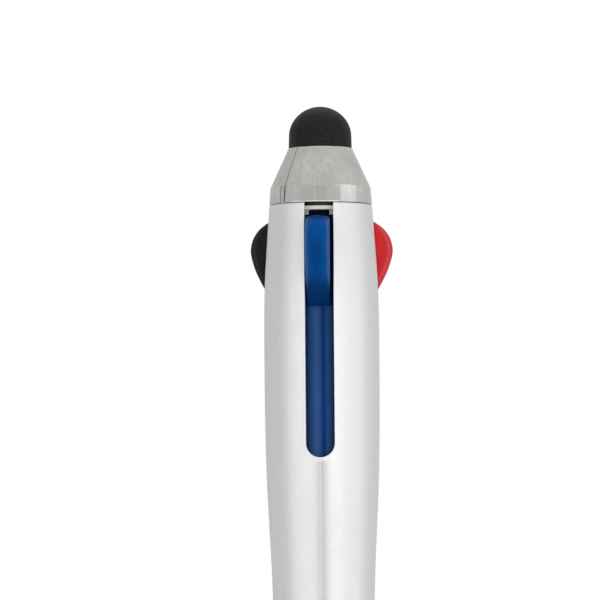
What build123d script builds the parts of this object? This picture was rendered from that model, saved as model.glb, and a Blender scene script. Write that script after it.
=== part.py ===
from build123d import *
import os
from math import atan2, cos, degrees, radians, sin

# A three-colour slide pen with a stylus tip, standing on its writing end, +Z up its axis.
# All sizes are millimetres. Heights are counted from the nose opening while the pieces are made,
# and save() lowers them by MOUNT_HEIGHT, so the origin is the middle of the grip's round seat.

# ---- whole pen
PEN_LENGTH = 143.0
SLOT_DIRECTION = {"blue": 270.0, "red": 30.0, "black": 150.0}  # degrees from +X
MOUNT_HEIGHT = 38.0  # middle of the plain round stretch of the grip
FIT = 0.04  # radial clearance of one fixed piece in another
FACE_GAP = 0.05  # gap between end faces that meet

# ---- upper barrel
BARREL_TOP = 131.85
BARREL_FOOT = 69.0
BARREL_OUTLINE = [  # radius, height
    (5.76, BARREL_TOP),
    (6.35, 122.4),
    (6.45, 113.0),
    (6.31, 102.5),
    (5.73, 89.5),
    (5.48, 80.0),
    (5.45, BARREL_FOOT),
]
BORE = 4.90  # radius of the bore that the sliders run in
LOWER_BORE = 4.60  # radius of the bore that takes the seat and the lower barrel
BORE_STEP = 79.5
SLOT_WIDTH = 3.2
SLOT_FOOT = 103.4  # lowest point of the slot's round end

# ---- chrome cone and rubber stylus
CONE_FOOT = 131.9
CONE_FOOT_R = 5.76
CONE_CREASE = 133.85
CONE_CREASE_R = 5.60
CONE_TOP = 138.3
CONE_TOP_R = 3.56
CONE_SOCKET_R = 4.74
CONE_WALL_TOP = 137.0
STYLUS_R = 3.55
DOME_OUTLINE = [  # radius, height
    (3.50, 139.7),
    (3.11, 141.1),
    (1.94, 142.45),
    (0.0, PEN_LENGTH),
]
STYLUS_NECK_R = 1.9
STYLUS_BARB_R = 2.6

# ---- core that closes the barrel and guides the sliders
COLLAR_R = 4.86
COLLAR_FOOT = 131.08
COLLAR_TOP = 131.53
CORE_NECK_R = 4.2
CORE_SPIGOT_TOP = 134.2
POST_R = 3.3
POST_FOOT = 107.0
POST_THIN_R = 2.4
RIB_WIDTH = 1.6
JAMB_R = 4.55
JAMB_WIDTH = 0.45
JAMB_HEIGHT = 0.55

# ---- sliders
TRAVEL = 15.5
HEAD_WIDTH = 2.75
HEAD_HANG = {"blue": -0.12, "red": 0.12, "black": 0.12}  # each head hangs to one side of its slot
HEAD_TOP = 130.4
HEAD_FOOT = 120.4
HEAD_CREST = [  # radius, height: the finger piece seen from its side, carried on past its two ends
    (5.00, 131.3),
    (6.20, HEAD_TOP),
    (7.62, 129.45),
    (8.75, 127.40),
    (8.38, 125.40),
    (7.16, 123.05),
    (5.30, HEAD_FOOT),
    (3.80, 118.2),
]
HEAD_ARCH = 0.28  # how much the top edge rises in the middle
HEAD_ROUNDING = 0.75
STEM_OUTER_R = 4.72
STEM_INNER_R = 3.5
STEM_WIDTH = 3.9
STOP_PAD_TOP = 130.98
STOP_PAD_R = 4.1
SLIDER_FOOT = 96.0
SOCKET_R = 1.75
SOCKET_TOP = 103.0
SOCKET_BORE = 1.30
SOCKET_DEPTH = 5.2

# ---- refills, each hanging from its slider
REFILL_OFFSET = 2.5  # distance of each refill from the pen's axis
TUBE_R = 1.2
TUBE_BORE = 0.8
TUBE_TOP = 101.0
TUBE_FOOT = 22.0
INK_TOP = 90.0
TIP_INSERT_TOP = 28.0
TIP_BODY_R = 1.15
TIP_SHOULDER = 15.5
TIP_SHOULDER_R = 1.05
TIP_END_R = 0.40
BALL_R = 0.35
REFILL_END = 12.0  # lowest point of the ball with the colour drawn in
INK_CHANNEL_R = 0.25

# ---- springs and their seat
SEAT_FOOT = 75.0
SEAT_TOP = 77.0
SEAT_R = LOWER_BORE - 0.02
SPRING_POCKET = 0.4
SPRING_OUTER_R = 1.85
SPRING_INNER_R = 1.55
SEAT_HOLE_R = 1.38
SEAT_HOLE_STRETCH = 0.4  # the holes reach inward to let the refills lean

# ---- lower barrel, trim ring, grip and nose
LOWER_TOP = 74.5
LOWER_BORE_R = 3.95
RING_FOOT = 66.0
RING_R = 5.62
SHOULDER_FOOT = 58.0
SHOULDER_FOOT_R = 5.55
SHOULDER_TOP_R = 5.42
GRIP_SEAT_R = 4.8
GRIP_R = 5.60
GRIP_FOOT = 20.3
GROOVE_DEPTH = 0.35
GROOVE_WIDTH = 0.9
GROOVE_HEIGHTS = [22.4, 24.2, 26.0, 50.0, 51.8, 53.6, 55.4]
NOSE_TOP = 20.2
NOSE_TOP_R = 5.50
NOSE_MID = 10.0
NOSE_MID_R = 4.35
NOSE_END_R = 2.0
NOSE_HOLE_R = 1.30
NOSE_HOLE_LENGTH = 0.6
FUNNEL_TOP = 14.2
FUNNEL_R = 4.0
NOSE_THREAD_R = 4.50


# ---- helpers
def save(shape, node):
    """Write one sub-part, in the row's frame."""
    export_step(Pos(0, 0, -MOUNT_HEIGHT) * shape, f"parts/{node}.step")


def turned(*lines):
    """Solid turned about the pen's axis from a closed outline of radius and height."""
    outline = Curve() + list(lines)
    return revolve(make_face(Plane.XZ * outline), Axis.Z)


def ring(outer, inner, foot, top):
    """Plain tube between two heights."""
    middle = Pos(0, 0, (foot + top) / 2)
    tube = middle * Cylinder(outer, top - foot)
    if inner > 0:
        tube -= middle * Cylinder(inner, top - foot + 1)
    return tube


def block(inner, outer, width, foot, top):
    """Box that stands out along +X from one radius to another."""
    size = Box(outer - inner, width, top - foot)
    return Pos((inner + outer) / 2, 0, (foot + top) / 2) * size


# ---- casing
def upper_barrel():
    """Silver shell, open at the top, with a slot for each slider."""
    outer = Spline(*BARREL_OUTLINE)
    inner = Polyline(
        BARREL_OUTLINE[-1],
        (LOWER_BORE, BARREL_FOOT),
        (LOWER_BORE, BORE_STEP),
        (BORE, BORE_STEP + BORE - LOWER_BORE),
        (BORE, BARREL_TOP),
        BARREL_OUTLINE[0],
    )
    shell = turned(outer, inner)
    for direction in SLOT_DIRECTION.values():
        shell -= Rot(0, 0, direction) * slot_cutter()
    return shell


def slot_cutter():
    """The space of one slot: straight sides, a round lower end, open at the top."""
    end_height = SLOT_FOOT + SLOT_WIDTH / 2
    reach = 6.0
    straight = block(BORE - 2, BORE - 2 + reach, SLOT_WIDTH, end_height, BARREL_TOP + 1)
    round_end = Pos(BORE - 2 + reach / 2, 0, end_height) * Rot(0, 90, 0) * Cylinder(SLOT_WIDTH / 2, reach)
    return straight + round_end


def top_cone():
    """Chrome cap: a narrow band under a straight cone, hollow for the core and the stylus."""
    outline = Polyline(
        (CONE_FOOT_R, CONE_FOOT),
        (CONE_CREASE_R, CONE_CREASE),
        (CONE_TOP_R, CONE_TOP),
        (STYLUS_NECK_R + FIT, CONE_TOP),
        (STYLUS_NECK_R + FIT, CONE_WALL_TOP),
        (STYLUS_BARB_R + 0.6, CONE_WALL_TOP),
        (CONE_SOCKET_R, CONE_CREASE + 0.3),
        (CONE_SOCKET_R, CONE_FOOT),
        close=True,
    )
    return turned(outline)


def stylus_tip():
    """Soft rubber dome with a barbed plug that holds in the cone."""
    foot = CONE_TOP + 0.01
    dome = Spline(*DOME_OUTLINE, tangents=[(-0.05, 1), (-1, 0)])
    sides = Polyline(
        (0, PEN_LENGTH),
        (0, CONE_WALL_TOP - 1.3),
        (STYLUS_BARB_R - 0.5, CONE_WALL_TOP - 1.3),
        (STYLUS_BARB_R, CONE_WALL_TOP - FACE_GAP),
        (STYLUS_NECK_R, CONE_WALL_TOP - FACE_GAP),
        (STYLUS_NECK_R, foot),
        (STYLUS_R, foot),
        DOME_OUTLINE[0],
    )
    return turned(dome, sides)


def cap_core():
    """Plug in the barrel's mouth, with the post that holds the sliders apart and latches them."""
    lip = STOP_PAD_TOP - TRAVEL + 0.2
    core = ring(CONE_SOCKET_R - FIT, 0, CONE_FOOT + FACE_GAP, CORE_SPIGOT_TOP)
    core += ring(CORE_NECK_R, 0, COLLAR_TOP, CONE_FOOT + FACE_GAP)
    core += ring(COLLAR_R, 0, COLLAR_FOOT, COLLAR_TOP)
    core += ring(POST_R, 0, lip, COLLAR_FOOT)
    core += ring(POST_THIN_R, 0, POST_FOOT, lip)
    rib = block(1.0, BORE, RIB_WIDTH, POST_FOOT, COLLAR_FOOT)
    rib &= ring(COLLAR_R, 0, POST_FOOT, COLLAR_FOOT)
    jamb = block(CORE_NECK_R + 0.1, JAMB_R, JAMB_WIDTH, COLLAR_FOOT - JAMB_HEIGHT, COLLAR_FOOT)
    jamb_side = (SLOT_WIDTH - JAMB_WIDTH) / 2
    for direction in SLOT_DIRECTION.values():
        core += Rot(0, 0, direction + 60) * rib
        for side in (-1, 1):
            core += Rot(0, 0, direction) * Pos(0, side * jamb_side, 0) * jamb
    return core


def spring_seat():
    """Guide disc with a pocket for each spring and a leaning hole for each refill."""
    seat = ring(SEAT_R, 0, SEAT_FOOT, SEAT_TOP)
    pocket = Pos(REFILL_OFFSET, 0, SEAT_TOP) * Cylinder(SPRING_OUTER_R + FACE_GAP, 2 * SPRING_POCKET)
    hole = extrude(
        Pos(REFILL_OFFSET - SEAT_HOLE_STRETCH / 2, 0, SEAT_FOOT - 1)
        * SlotCenterToCenter(SEAT_HOLE_STRETCH, 2 * SEAT_HOLE_R),
        amount=SEAT_TOP - SEAT_FOOT + 2,
    )
    for direction in SLOT_DIRECTION.values():
        seat -= Rot(0, 0, direction) * (pocket + hole)
    return seat


def lower_barrel():
    """Lower shell: a spigot up into the upper barrel, a silver shoulder, the grip's seat and the nose's."""
    outline = Polyline(
        (LOWER_BORE_R, FUNNEL_TOP + FACE_GAP),
        (NOSE_THREAD_R - FIT, FUNNEL_TOP + FACE_GAP),
        (NOSE_THREAD_R - FIT, NOSE_TOP + FACE_GAP),
        (GRIP_SEAT_R, NOSE_TOP + FACE_GAP),
        (GRIP_SEAT_R, SHOULDER_FOOT),
        (SHOULDER_FOOT_R, SHOULDER_FOOT),
        (SHOULDER_TOP_R, RING_FOOT),
        (LOWER_BORE - FIT, RING_FOOT),
        (LOWER_BORE - FIT, LOWER_TOP),
        (LOWER_BORE_R, LOWER_TOP),
        close=True,
    )
    return turned(outline)


def center_ring():
    """Chrome trim ring between the two barrels, crowned on the outside."""
    foot = RING_FOOT + FACE_GAP
    top = BARREL_FOOT - FACE_GAP
    edge = RING_R - 0.17
    crown = ThreePointArc((edge, foot), (RING_R, (foot + top) / 2), (edge, top))
    inside = Polyline((edge, top), (LOWER_BORE, top), (LOWER_BORE, foot), (edge, foot))
    return turned(crown, inside)


def grip_sleeve():
    """Rubber sleeve with a plain round stretch between two sets of grooves."""
    sleeve = ring(GRIP_R, GRIP_SEAT_R + FIT, GRIP_FOOT, SHOULDER_FOOT - FACE_GAP)
    for height in GROOVE_HEIGHTS:
        sleeve -= ring(GRIP_R + 1, GRIP_R - GROOVE_DEPTH, height - GROOVE_WIDTH / 2, height + GROOVE_WIDTH / 2)
    return sleeve


def nose_cone():
    """Chrome nose with the writing hole and the funnel that brings each tip to it."""
    outer = ThreePointArc((NOSE_END_R, 0), (NOSE_MID_R, NOSE_MID), (NOSE_TOP_R, NOSE_TOP))
    inner = Polyline(
        (NOSE_TOP_R, NOSE_TOP),
        (NOSE_THREAD_R, NOSE_TOP),
        (NOSE_THREAD_R, FUNNEL_TOP),
        (FUNNEL_R, FUNNEL_TOP),
        (NOSE_HOLE_R, NOSE_HOLE_LENGTH),
        (NOSE_HOLE_R, 0),
        (NOSE_END_R, 0),
    )
    return turned(outer, inner)


# ---- sliders, made standing out along +X and then turned to their slots
def slider_head(hang):
    """Finger piece: a fin with rounded flanks whose top edge is arched."""
    crest = Spline(*HEAD_CREST)
    back = Polyline(HEAD_CREST[-1], (HEAD_CREST[-1][0], HEAD_CREST[0][1]), HEAD_CREST[0])
    fin = extrude(make_face(Plane.XZ * (Curve() + [crest, back])), amount=HEAD_WIDTH / 2, both=True)
    flanks = [edge for edge in fin.edges() if edge.geom_type == GeomType.BSPLINE]
    fin = fillet(flanks, HEAD_ROUNDING)
    half = HEAD_WIDTH / 2 + 0.01
    corner = HEAD_TOP - HEAD_ARCH
    arch = ThreePointArc((-half, corner), (0, HEAD_TOP), (half, corner))
    sides = Polyline((half, corner), (half, HEAD_FOOT), (-half, HEAD_FOOT), (-half, corner))
    front = extrude(make_face(Plane.YZ * (Curve() + [arch, sides])), amount=20, dir=(1, 0, 0))
    return Pos(0, hang, 0) * (fin & front)


def slider_stem():
    """Long curved plate inside the bore, wider than the slot, with a pad that stops at the collar."""
    top = HEAD_TOP - HEAD_ARCH
    plate = ring(STEM_OUTER_R, STEM_INNER_R, SLIDER_FOOT, top)
    plate &= block(0, STEM_OUTER_R + 1, STEM_WIDTH, SLIDER_FOOT, top)
    pad = ring(STOP_PAD_R, STEM_INNER_R, top, STOP_PAD_TOP)
    pad &= block(0, STEM_OUTER_R + 1, HEAD_WIDTH - 2 * JAMB_WIDTH, top, STOP_PAD_TOP)
    return plate + pad


def slider(hang):
    """One slider: finger piece, stem and the socket that the refill plugs into."""
    socket = Pos(REFILL_OFFSET, 0, (SLIDER_FOOT + SOCKET_TOP) / 2) * Cylinder(SOCKET_R, SOCKET_TOP - SLIDER_FOOT)
    bore = Pos(REFILL_OFFSET, 0, SLIDER_FOOT) * Cylinder(SOCKET_BORE, 2 * SOCKET_DEPTH)
    return slider_head(hang) + slider_stem() + socket - bore


# ---- springs and refills, made at the refill's place along +X and then turned
def return_spring():
    """Envelope of one coil spring, seated in its pocket and under the slider's foot."""
    return Pos(REFILL_OFFSET, 0, 0) * ring(
        SPRING_OUTER_R,
        SPRING_INNER_R,
        SEAT_TOP - SPRING_POCKET + 0.01,
        SLIDER_FOOT - FACE_GAP,
    )


def refill_tube():
    """Plastic ink tube."""
    return Pos(REFILL_OFFSET, 0, 0) * ring(TUBE_R, TUBE_BORE, TUBE_FOOT, TUBE_TOP)


def refill_ink():
    """Ink standing in the tube above the brass tip."""
    return Pos(REFILL_OFFSET, 0, 0) * ring(TUBE_BORE - 0.01, 0, TIP_INSERT_TOP + 0.01, INK_TOP)


def refill_tip():
    """Brass tip: an insert in the tube, a straight body, a shoulder and the cone round the ball."""
    ball_height = REFILL_END + BALL_R
    outline = Polyline(
        (INK_CHANNEL_R, ball_height - 0.1),
        (TIP_END_R, ball_height - 0.1),
        (TIP_SHOULDER_R, TIP_SHOULDER),
        (TIP_BODY_R, TIP_SHOULDER + 0.2),
        (TIP_BODY_R, TUBE_FOOT - 0.01),
        (TUBE_BORE - 0.01, TUBE_FOOT - 0.01),
        (TUBE_BORE - 0.01, TIP_INSERT_TOP),
        (INK_CHANNEL_R, TIP_INSERT_TOP),
        close=True,
    )
    tip = turned(outline) - Pos(0, 0, ball_height) * Sphere(BALL_R + 0.01)
    return Pos(REFILL_OFFSET, 0, 0) * tip


def refill_ball():
    """Writing ball."""
    return Pos(REFILL_OFFSET, 0, REFILL_END + BALL_R) * Sphere(BALL_R)


# ---- build
def print_joint_values():
    """Lean that brings a fully lowered refill to the axis at the nose opening, and its rate."""
    pivot = (TUBE_TOP + SLIDER_FOOT) / 2
    lean = atan2(REFILL_OFFSET, pivot - TRAVEL)
    print(f"pivot height {pivot - MOUNT_HEIGHT:.3f} mm, lean {degrees(lean):.4f} deg")
    print(f"lean rate {lean / (TRAVEL / 1000):.5f} rad per metre of travel")
    for colour, direction in SLOT_DIRECTION.items():
        angle = radians(direction)
        x, y = REFILL_OFFSET * cos(angle), REFILL_OFFSET * sin(angle)
        print(f"{colour}: pivot at {x:.4f}, {y:.4f}, hinge axis {-sin(angle):.6f}, {cos(angle):.6f}")


def main():
    os.makedirs("parts", exist_ok=True)
    for piece in (
        upper_barrel,
        top_cone,
        stylus_tip,
        cap_core,
        spring_seat,
        lower_barrel,
        center_ring,
        grip_sleeve,
        nose_cone,
    ):
        save(piece(), piece.__name__)
    for colour, direction in SLOT_DIRECTION.items():
        save(Rot(0, 0, direction) * slider(HEAD_HANG[colour]), f"slider_{colour}")
    for piece in (return_spring, refill_tube, refill_ink, refill_tip, refill_ball):
        shape = piece()
        for colour, direction in SLOT_DIRECTION.items():
            save(Rot(0, 0, direction) * shape, f"{piece.__name__}_{colour}")
    print_joint_values()


main()
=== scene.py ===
from math import asin, atan2, ceil, cos, exp, hypot, pi, radians, sin, sqrt, tan

import bmesh
import bpy
from mathutils import Matrix, Vector


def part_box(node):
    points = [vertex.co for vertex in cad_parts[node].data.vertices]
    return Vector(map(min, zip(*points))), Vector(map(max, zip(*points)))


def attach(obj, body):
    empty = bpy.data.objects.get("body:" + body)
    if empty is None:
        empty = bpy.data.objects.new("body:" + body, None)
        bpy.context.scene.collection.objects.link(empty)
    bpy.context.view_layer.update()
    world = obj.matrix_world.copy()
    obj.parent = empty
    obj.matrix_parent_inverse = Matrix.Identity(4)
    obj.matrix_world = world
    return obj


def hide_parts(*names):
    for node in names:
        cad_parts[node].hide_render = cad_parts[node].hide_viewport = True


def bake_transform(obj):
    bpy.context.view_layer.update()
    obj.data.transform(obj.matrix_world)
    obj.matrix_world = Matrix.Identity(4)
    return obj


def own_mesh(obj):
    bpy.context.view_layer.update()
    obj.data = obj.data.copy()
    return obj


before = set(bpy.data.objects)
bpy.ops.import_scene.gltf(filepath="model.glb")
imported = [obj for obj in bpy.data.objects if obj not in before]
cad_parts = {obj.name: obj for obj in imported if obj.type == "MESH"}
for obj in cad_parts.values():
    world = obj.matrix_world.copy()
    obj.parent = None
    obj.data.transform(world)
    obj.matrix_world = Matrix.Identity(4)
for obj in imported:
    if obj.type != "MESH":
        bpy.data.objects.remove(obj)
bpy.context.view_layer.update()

# The pen stands on its writing end with +Z up its axis. Sizes below are millimetres, and heights are
# counted from the nose opening, as in the CAD model. to_world() turns them into the frame's metres.
MM = 0.001
NOSE_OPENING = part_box("nose_cone")[0][2]
SLOT_DIRECTION = {"blue": 270.0, "red": 30.0, "black": 150.0}  # degrees from +X
AROUND = 192  # steps round a turned piece


def ends_of(node):
    """Heights of a CAD node's foot and top above the nose opening."""
    return [(corner[2] - NOSE_OPENING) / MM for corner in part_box(node)]


def to_world(x, y, height):
    return (x * MM, y * MM, NOSE_OPENING + height * MM)


# ---------------------------------------------------------------- outlines
def smooth_curve(points):
    """Function of height through (radius, height) points: a cubic with even slopes at the points."""
    points = sorted(points, key=lambda p: p[1])
    r = [p[0] for p in points]
    z = [p[1] for p in points]
    count = len(points)
    slopes = []
    for i in range(count):
        low = max(i - 1, 0)
        high = min(i + 1, count - 1)
        if low == i or high == i:
            slopes.append((r[high] - r[low]) / (z[high] - z[low]))
            continue
        before = (r[i] - r[low]) / (z[i] - z[low])
        after = (r[high] - r[i]) / (z[high] - z[i])
        weight = (z[high] - z[i]) / (z[high] - z[low])
        slopes.append(before * weight + after * (1 - weight))

    def radius(height):
        height = min(max(height, z[0]), z[-1])
        i = 0
        while i < count - 2 and height > z[i + 1]:
            i += 1
        step = z[i + 1] - z[i]
        t = (height - z[i]) / step
        return (
            r[i] * (1 + 2 * t) * (1 - t) ** 2
            + slopes[i] * step * t * (1 - t) ** 2
            + r[i + 1] * t * t * (3 - 2 * t)
            - slopes[i + 1] * step * t * t * (1 - t)
        )

    return radius


def rounded(corners, steps=6):
    """Closed outline from (radius, height, rounding) corners, with an arc at each rounded one.

    A point just before and after each arc keeps the smooth shading of the flats beside it flat.
    """
    outline = []
    count = len(corners)
    for i, (r, z, rounding) in enumerate(corners):
        here = Vector((r, z))
        if rounding <= 0:
            outline.append((r, z))
            continue
        back = (Vector(corners[i - 1][:2]) - here).normalized()
        ahead = (Vector(corners[(i + 1) % count][:2]) - here).normalized()
        half = back.angle(ahead) / 2
        reach = rounding / max(1e-6, sin(half) / cos(half))
        bisector = (back + ahead).normalized()
        center = here + bisector * (rounding / sin(half))
        start = here + back * reach - center
        turn = pi - 2 * half
        side = 1 if start.x * ahead.y - start.y * ahead.x > 0 else -1
        hold = min(0.25 * rounding, 0.04)
        outline.append(tuple(here + back * (reach + hold)))
        for k in range(steps + 1):
            angle = side * turn * k / steps
            spoke = Vector(
                (start.x * cos(angle) - start.y * sin(angle), start.x * sin(angle) + start.y * cos(angle))
            )
            outline.append(tuple(center + spoke))
        outline.append(tuple(here + ahead * (reach + hold)))
    return outline


def smooth_step(value, start, end):
    share = min(max((value - start) / (end - start), 0.0), 1.0)
    return share * share * (3 - 2 * share)


# ---------------------------------------------------------------- mesh building
def new_piece(name, vertices, faces, sharp_angle=35):
    """Mesh object with smooth faces and sharp edges where faces meet at more than sharp_angle degrees."""
    mesh = bpy.data.meshes.new(name)
    mesh.from_pydata([tuple(v) for v in vertices], [], faces)
    shape = bmesh.new()
    shape.from_mesh(mesh)
    bmesh.ops.remove_doubles(shape, verts=shape.verts, dist=2e-7)
    bmesh.ops.recalc_face_normals(shape, faces=shape.faces)
    shape.to_mesh(mesh)
    shape.free()
    mesh.shade_smooth()
    mesh.set_sharp_from_angle(angle=radians(sharp_angle))
    piece = bpy.data.objects.new(name, mesh)
    bpy.context.scene.collection.objects.link(piece)
    return piece


def lathe(name, outline, center=(0.0, 0.0), around=AROUND, sharp_angle=35):
    """Piece turned about an upright axis from a closed (radius, height) outline."""
    vertices, rings, faces = [], [], []
    for r, z in outline:
        if r < 1e-6:
            rings.append([len(vertices)])
            vertices.append(to_world(center[0], center[1], z))
            continue
        rings.append(range(len(vertices), len(vertices) + around))
        for k in range(around):
            angle = 2 * pi * k / around
            vertices.append(to_world(center[0] + r * cos(angle), center[1] + r * sin(angle), z))
    for i in range(len(rings)):
        a, b = rings[i], rings[(i + 1) % len(rings)]
        for k in range(around):
            n = (k + 1) % around
            if len(a) == 1 and len(b) == 1:
                break
            if len(a) == 1:
                faces.append((a[0], b[n], b[k]))
            elif len(b) == 1:
                faces.append((a[k], a[n], b[0]))
            else:
                faces.append((a[k], a[n], b[n], b[k]))
    return new_piece(name, vertices, faces, sharp_angle)


def around_slot(direction, radial, sideways):
    """Plan position of a point given along a slot's direction and across it."""
    angle = radians(direction)
    return (radial * cos(angle) - sideways * sin(angle), radial * sin(angle) + sideways * cos(angle))


def hand_over(piece, material, body, slot_name, *nodes):
    """Give a piece its material and put it on its body in place of its CAD nodes."""
    piece.data.materials.append(MATERIALS[material])
    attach(piece, body)
    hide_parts(*nodes)
    return piece


# ---------------------------------------------------------------- node materials
class Nodes:
    """Small helper to lay out a node tree. Its inputs are plain values or other nodes' outputs."""

    def __init__(self, tree):
        self.tree = tree

    def feed(self, socket, value):
        if isinstance(value, bpy.types.NodeSocket):
            self.tree.links.new(value, socket)
        else:
            socket.default_value = value

    def node(self, kind, **inputs):
        node = self.tree.nodes.new(kind)
        for socket, value in inputs.items():
            self.feed(node.inputs[socket.replace("_", " ")], value)
        return node

    def math(self, operation, a, b=0.0):
        node = self.tree.nodes.new("ShaderNodeMath")
        node.operation = operation
        self.feed(node.inputs[0], a)
        self.feed(node.inputs[1], b)
        return node.outputs["Value"]

    def span(self, value, low, high, from_low=0.0, from_high=1.0, kind="LINEAR"):
        """Map a value to a range."""
        node = self.node("ShaderNodeMapRange", Value=value, From_Min=from_low, From_Max=from_high)
        node.interpolation_type = kind
        self.feed(node.inputs["To Min"], low)
        self.feed(node.inputs["To Max"], high)
        return node.outputs["Result"]


class Shader(Nodes):
    """Node material round one Principled surface."""

    def __init__(self, name, base, roughness, metallic=0.0, **fixed):
        self.material = bpy.data.materials.new(name)
        self.material.use_nodes = True
        super().__init__(self.material.node_tree)
        self.surface = self.tree.nodes["Principled BSDF"]
        self.surface.inputs["Base Color"].default_value = (*base, 1.0)
        self.surface.inputs["Roughness"].default_value = roughness
        self.surface.inputs["Metallic"].default_value = metallic
        for socket, value in fixed.items():
            self.surface.inputs[socket.replace("_", " ")].default_value = value

    def place(self, stretch=(1, 1, 1)):
        """Object coordinates in millimetres, stretched per axis."""
        coordinates = self.node("ShaderNodeTexCoord").outputs["Object"]
        mapping = self.node("ShaderNodeMapping", Vector=coordinates, Scale=[s / MM for s in stretch])
        return mapping.outputs["Vector"]

    def axes(self):
        """Object coordinates in millimetres, one output for each axis."""
        return self.node("ShaderNodeSeparateXYZ", Vector=self.place())

    def out_from_axis(self):
        """Distance from the pen's axis in millimetres."""
        axes = self.axes()
        x, y = (self.math("POWER", self.math("ABSOLUTE", axes.outputs[name], 0.0), 2.0) for name in "XY")
        return self.math("SQRT", self.math("ADD", x, y), 0.0)

    def noise(self, scale, detail=3.0, stretch=(1, 1, 1), roughness=0.5):
        noise = self.node("ShaderNodeTexNoise", Vector=self.place(stretch), Scale=scale, Detail=detail)
        noise.inputs["Roughness"].default_value = roughness
        return noise.outputs["Fac"]

    def cells(self, scale, stretch=(1, 1, 1)):
        cells = self.node("ShaderNodeTexVoronoi", Vector=self.place(stretch), Scale=scale)
        return cells.outputs["Color"]

    def tint(self, factor, first, second):
        """Colour between two colours."""
        node = self.tree.nodes.new("ShaderNodeMix")
        node.data_type = "RGBA"
        self.tree.links.new(factor, node.inputs["Factor"])
        colour_a = [s for s in node.inputs if s.name == "A" and s.type == "RGBA"][0]
        colour_b = [s for s in node.inputs if s.name == "B" and s.type == "RGBA"][0]
        for socket, value in ((colour_a, first), (colour_b, second)):
            self.feed(socket, value if isinstance(value, bpy.types.NodeSocket) else (*value, 1.0))
        return [s for s in node.outputs if s.type == "RGBA"][0]

    def attribute(self, name):
        node = self.tree.nodes.new("ShaderNodeAttribute")
        node.attribute_name = name
        return node.outputs["Fac"]

    def use(self, socket, value):
        self.tree.links.new(value, self.surface.inputs[socket])

    def uneven_colour(self, noise, first, second):
        self.use("Base Color", self.tint(noise, first, second))

    def uneven_roughness(self, noise, low, high, from_low=0.3, from_high=0.7):
        self.use("Roughness", self.span(noise, low, high, from_low, from_high))

    def bump(self, height, depth_mm, strength=1.0):
        node = self.node("ShaderNodeBump", Height=height, Distance=depth_mm * MM, Strength=strength)
        self.use("Normal", node.outputs["Normal"])


def silver_lacquer():
    """Satin silver: metal flakes in lacquer, with a grey streak and a pale line below each slot."""
    s = Shader("silver_lacquer", (0.80, 0.80, 0.805), 0.42, 0.62)
    flakes = s.span(s.cells(9.0), 0.0, 1.0)
    shade = s.tint(flakes, (0.765, 0.772, 0.782), (0.825, 0.831, 0.84))
    flow = s.attribute("flow")
    shade = s.tint(s.math("MULTIPLY", flow, 0.62), shade, (0.34, 0.345, 0.34))
    line = s.attribute("line")
    shade = s.tint(s.math("MULTIPLY", line, 0.35), shade, (0.86, 0.86, 0.85))
    s.use("Base Color", shade)
    s.uneven_roughness(s.noise(0.9, 4.0), 0.39, 0.46, 0.35, 0.65)
    s.bump(s.noise(7.0, 2.0), 0.0022)
    return s.material


def chrome_plate(name, low, high, mark_strength):
    """Bright chrome on moulded plastic: faint haze, fine upright marks and a slightly uneven skin."""
    s = Shader(name, high, 0.07, 1.0)
    blotches = s.span(s.noise(0.35, 4.0, stretch=(1, 1, 0.8)), 0.0, 1.0, 0.32, 0.68)
    marks = s.span(s.noise(3.2, 4.0, stretch=(1, 1, 0.12), roughness=0.62), 0.0, 1.0, 0.34, 0.66)
    shade = s.tint(blotches, low, high)
    s.uneven_colour(s.math("MULTIPLY", marks, mark_strength), shade, (0.68, 0.67, 0.655))
    s.uneven_roughness(s.noise(1.6, 4.0, stretch=(1, 1, 0.25)), 0.05, 0.13, 0.35, 0.7)
    s.bump(s.math("ADD", marks, s.math("MULTIPLY", blotches, 4.0)), 0.0012)
    return s.material


def dome_rubber():
    """Matte conductive rubber: fine grain and a dusty edge."""
    gloss = {"Specular_IOR_Level": 0.15, "Sheen_Weight": 0.08, "Sheen_Roughness": 0.4}
    s = Shader("dome_rubber", (0.016, 0.016, 0.017), 0.7, **gloss)
    grain = s.span(s.noise(4.5, 5.0), 0.0, 1.0, 0.3, 0.7)
    s.uneven_colour(grain, (0.005, 0.005, 0.0055), (0.020, 0.020, 0.0205))
    s.uneven_roughness(s.noise(5.0, 3.0), 0.6, 0.8)
    s.bump(s.noise(11.0, 3.0), 0.012, 0.8)
    return s.material


def grip_rubber():
    """Soft-touch rubber sleeve with a fine moulded grain."""
    gloss = {"Specular_IOR_Level": 0.4, "Sheen_Weight": 0.15, "Sheen_Roughness": 0.5}
    s = Shader("grip_rubber", (0.02, 0.02, 0.021), 0.62, **gloss)
    s.uneven_colour(s.noise(1.2, 4.0), (0.014, 0.014, 0.015), (0.03, 0.03, 0.031))
    s.uneven_roughness(s.noise(3.0, 4.0), 0.52, 0.72)
    grain = s.node("ShaderNodeTexVoronoi", Vector=s.place(), Scale=3.2)
    s.bump(grain.outputs["Distance"], 0.02, 0.7)
    return s.material


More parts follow.
